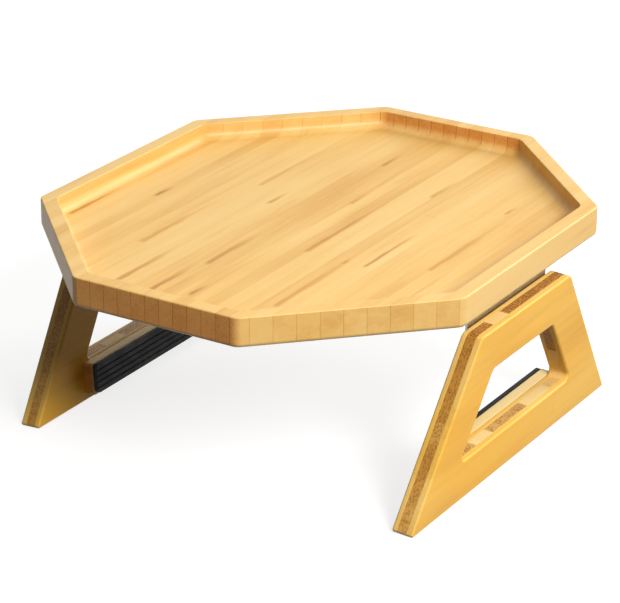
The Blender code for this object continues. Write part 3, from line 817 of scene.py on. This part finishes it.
def screw_tree():
    """A row of screws along Y, each with a cross recess and turned by chance."""
    kinds = {"Count": 'Int', "First": 'Float', "Step": 'Float', "Head height": 'Float',
             "Recess length": 'Float', "Recess width": 'Float', "Recess depth": 'Float', "Seed": 'Int',
             "Surface": 'Material'}
    tree, size = new_tree("screw_row", kinds)
    doubled = math_node(tree, 'MULTIPLY', size["Recess depth"], 2.0)
    top = node(tree, 'ShaderNodeCombineXYZ', {2: size["Head height"]})
    cut = tree.nodes.new('GeometryNodeMeshBoolean')
    cut.operation = 'DIFFERENCE'
    cut.solver = 'EXACT'
    tree.links.new(size["Geometry"], cut.inputs["Mesh 1"])
    for long_way, short_way in ((0, 1), (1, 0)):
        spans = {long_way: size["Recess length"], short_way: size["Recess width"], 2: doubled}
        block = node(tree, 'ShaderNodeCombineXYZ', spans)
        bar = node(tree, 'GeometryNodeMeshCube', {"Size": block})
        bar = node(tree, 'GeometryNodeTransform', {"Geometry": bar, "Translation": top})
        tree.links.new(bar, cut.inputs["Mesh 2"])
    start = node(tree, 'ShaderNodeCombineXYZ', {1: size["First"]})
    step = node(tree, 'ShaderNodeCombineXYZ', {1: size["Step"]})
    line = {"Count": size["Count"], "Start Location": start, "Offset": step}
    row = node(tree, 'GeometryNodeMeshLine', line)
    chance = tree.nodes.new('FunctionNodeRandomValue')
    chance.data_type = 'FLOAT_VECTOR'
    chance.inputs["Max"].default_value = (0, 0, 2 * math.pi)
    tree.links.new(size["Seed"], chance.inputs["Seed"])
    screws = node(tree, 'GeometryNodeInstanceOnPoints', {"Points": row, "Instance": cut.outputs[0],
                                                         "Rotation": chance.outputs[0]})
    close_tree(tree, screws, size["Surface"])
    return tree


screws = screw_tree()
head_down = Matrix.Rotation(math.pi, 4, 'X')
head_inward = Matrix.Rotation(-math.pi / 2, 4, 'Y')
for index, side in enumerate(("right", "left")):
    body = side + "_leg"
    for word, rider, old, place, point, seed in (
            ("_board_screws", "tray", "_tray_screw_", leg_place(body, 0), head_down, 3),
            ("_leg_screws", body, "_leg_screw_", leg_place(body), head_inward, 8)):
        nodes = [side + old + str(number + 1) for number in range(screw_count)]
        spans = [solid_span(name, place @ point) for name in nodes]
        firsts = sorted((low.y + high.y) / 2 for low, high in spans)
        low, high = spans[0]
        base = screw_mesh(high.z - low.z - screw_head_height)
        sizes = {"Count": screw_count, "First": firsts[0], "Step": firsts[1] - firsts[0],
                 "Head height": screw_head_height, "Recess length": recess_length,
                 "Recess width": recess_width, "Recess depth": recess_reach, "Seed": seed + index,
                 "Surface": pin_steel}
        mesh = grown(side + word, base, screws, sizes)
        seat = Matrix.Translation(((low.x + high.x) / 2, 0, high.z - screw_head_height))
        mesh.transform(place @ point @ seat)
        finished(side + word, mesh, pin_steel, rider, nodes)


# The studio
# A pale floor and plain soft light: a lamp in front on the right, a wider and weaker one behind
# and also to the right, and a dim sky that is brighter overhead and behind. The floor looks
# white and keeps the shadow.
camera_heading = math.radians(31.4613)
camera_pitch = math.radians(23.0362)
camera_roll = math.radians(0.4253)
camera_distance = 1.52235
camera_target = Vector((0.07842, -0.13743, board_high.z))
camera_lens = 156.55
camera_near = 0.05
lamp_distance = 1.9
floor_half = 6.0


def aimed(item, heading, pitch, roll, distance, target):
    """Puts a camera or a lamp at a distance from its target, turned to face it."""
    level = math.cos(pitch)
    ahead = Vector((-math.sin(heading) * level, math.cos(heading) * level, -math.sin(pitch)))
    right = Vector((math.cos(heading), math.sin(heading), 0))
    above = right.cross(ahead)
    turn = Matrix((right, above, -ahead)).transposed().to_4x4()
    item.matrix_world = Matrix.Translation(target - ahead * distance) @ turn @ Matrix.Rotation(roll, 4, 'Z')


def softbox(name, size, power, heading, pitch, colour):
    """Hangs a square lamp that faces the tray."""
    lamp = bpy.data.lights.new(name, 'AREA')
    lamp.size = size
    lamp.energy = power
    lamp.color = colour
    item = bpy.data.objects.new(name, lamp)
    bpy.context.scene.collection.objects.link(item)
    middle = Vector((0, 0, board_high.z))
    aimed(item, math.radians(heading), math.radians(pitch), 0, lamp_distance, middle)


def background_rays(tree):
    """One for the rays that show the background: the camera's, and those in gloss and glass."""
    path = node(tree, 'ShaderNodeLightPath').node.outputs
    seen = math_node(tree, 'MAXIMUM', path["Is Camera Ray"], path["Is Glossy Ray"])
    return math_node(tree, 'MAXIMUM', seen, path["Is Transmission Ray"])


def floor_surface():
    """White where it shows, apart from the shadow on it, and dim in the light that it throws back."""
    surface = bpy.data.materials.new("floor_paint")
    surface.use_nodes = True
    tree = surface.node_tree
    tree.nodes.clear()
    seen = node(tree, 'ShaderNodeBsdfDiffuse', {0: (0.32, 0.32, 0.32, 1)})
    glow = node(tree, 'ShaderNodeEmission', {0: (1, 1, 1, 1), 1: 0.80})
    seen = node(tree, 'ShaderNodeAddShader', {0: seen, 1: glow})
    dim = node(tree, 'ShaderNodeBsdfDiffuse', {0: (0.035, 0.034, 0.032, 1)})
    both = node(tree, 'ShaderNodeMixShader', {0: background_rays(tree), 1: dim, 2: seen})
    tree.links.new(both, tree.nodes.new('ShaderNodeOutputMaterial').inputs[0])
    return surface


camera = bpy.data.objects.new("camera", bpy.data.cameras.new("camera"))
bpy.context.scene.collection.objects.link(camera)
camera.data.lens = camera_lens
camera.data.clip_start = camera_near
aimed(camera, camera_heading, camera_pitch, camera_roll, camera_distance, camera_target)
bpy.context.scene.camera = camera

softbox("key_lamp", size=0.6, power=38, heading=61, pitch=34, colour=(1.0, 0.98, 0.95))
softbox("back_lamp", size=1.2, power=24, heading=162, pitch=30, colour=(1.0, 0.99, 0.97))

corners = [(-floor_half, -floor_half, 0), (floor_half, -floor_half, 0),
           (floor_half, floor_half, 0), (-floor_half, floor_half, 0)]
floor_mesh = bpy.data.meshes.new("floor")
floor_mesh.from_pydata(corners, [], [(0, 1, 2, 3)])
floor_mesh.materials.append(floor_surface())
floor = bpy.data.objects.new("floor", floor_mesh)
bpy.context.scene.collection.objects.link(floor)

world = bpy.data.worlds.new("sky")
world.use_nodes = True
bpy.context.scene.world = world
sky = world.node_tree
direction = node(sky, 'ShaderNodeTexCoord', out=0)
parts = node(sky, 'ShaderNodeSeparateXYZ', {0: direction}).node.outputs
light = between(sky, parts[2], -0.05, 0.9, 0.03, 0.40)
behind = between(sky, sum_of(sky, (parts[0], 0.4), (parts[1], 0.9)), -0.7, 0.9, 0.25, 1.6)
light = math_node(sky, 'MULTIPLY', light, behind)
strength = node(sky, 'ShaderNodeMix', {0: background_rays(sky), 2: light, 3: 1.0})
sky.nodes["Background"].inputs[0].default_value = (1, 1, 1, 1)
sky.links.new(strength, sky.nodes["Background"].inputs[1])
bpy.context.scene.view_settings.view_transform = 'Standard'
